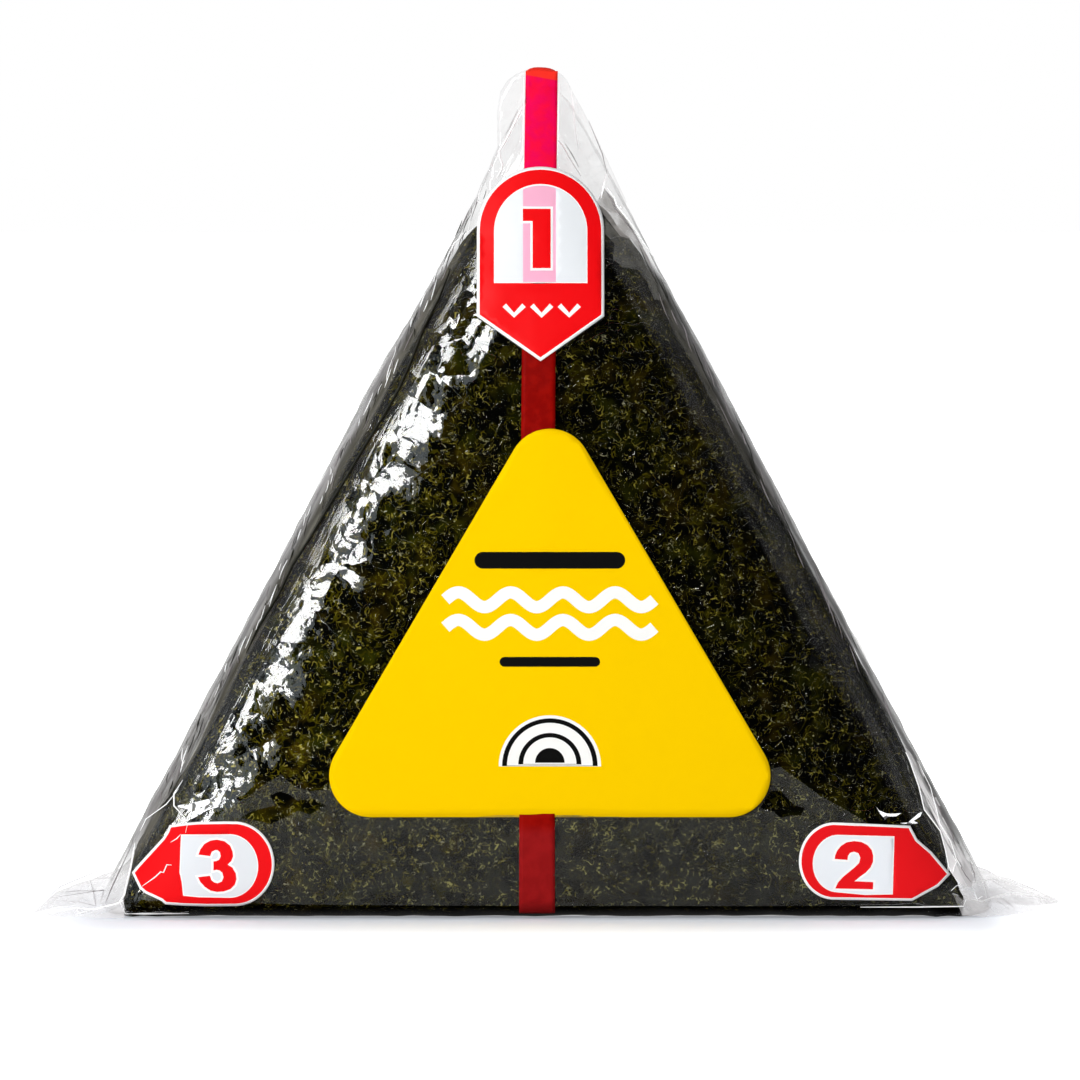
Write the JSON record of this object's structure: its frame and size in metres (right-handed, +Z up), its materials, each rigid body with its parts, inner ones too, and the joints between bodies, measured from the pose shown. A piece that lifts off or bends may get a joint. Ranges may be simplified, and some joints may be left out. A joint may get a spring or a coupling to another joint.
{
  "type": "wrapped onigiri rice ball",
  "caption": "Triangular rice ball wrapped in seaweed, sealed in a clear film pack with a tear strip, numbered opening labels and folded film ears.",
  "frame": {"origin": "middle of the base, on the surface the pack stands on", "axes": "+X along the base towards the label with the number 2, -Y out of the front face, +Z up to the film tab"},
  "size_m": [0.1048, 0.0331, 0.0871],
  "materials": {
    "seaweed_in_film": "dark green seaweed under glossy clear film",
    "tear_tape": "translucent red tape, glossy",
    "red_label": "printed red and white film label, satin",
    "yellow_label": "printed yellow label, satin"
  },
  "bodies": {
    "root": {"film_pack": "seaweed_in_film", "tear_strip": "tear_tape", "label_one": "red_label", "label_two": "red_label", "label_three": "red_label", "label_front": "yellow_label"}
  },
  "joints": []
}
